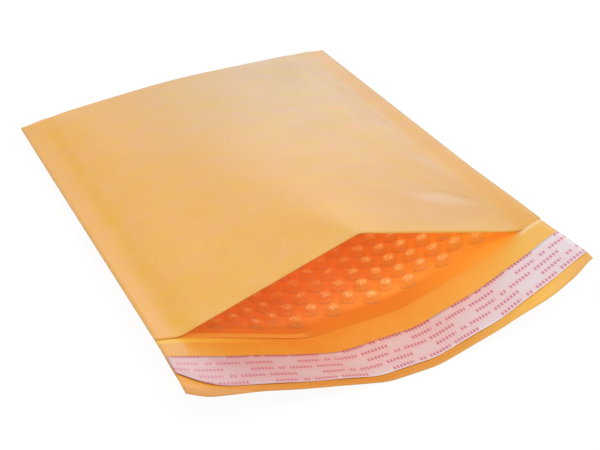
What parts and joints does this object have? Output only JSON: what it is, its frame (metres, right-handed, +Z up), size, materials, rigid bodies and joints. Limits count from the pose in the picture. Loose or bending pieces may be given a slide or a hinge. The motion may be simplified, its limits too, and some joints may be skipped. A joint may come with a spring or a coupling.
{
  "type": "padded envelope",
  "caption": "Kraft paper mailing envelope lined with bubble film, mouth propped open, flap laid out flat with its release paper still over the adhesive.",
  "frame": {"origin": "on the table, under the middle of the envelope's outline", "axes": "+X across the envelope to the right as seen from the mouth, +Y from the mouth to the bottom fold, +Z up from the table"},
  "size_m": [0.1966, 0.328, 0.0478],
  "materials": {
    "kraft_paper": "golden kraft paper with a satin face and fine fibres",
    "bubble_film": "clear polyethylene bubble film, orange from the paper behind it",
    "adhesive": "clear amber pressure-sensitive glue",
    "release_paper": "pale pink coated release paper with magenta dashes"
  },
  "bodies": {
    "root": {"kraft_shell": "kraft_paper", "bubble_lining": "bubble_film", "adhesive_band": "adhesive", "release_liner": "release_paper"}
  },
  "joints": []
}
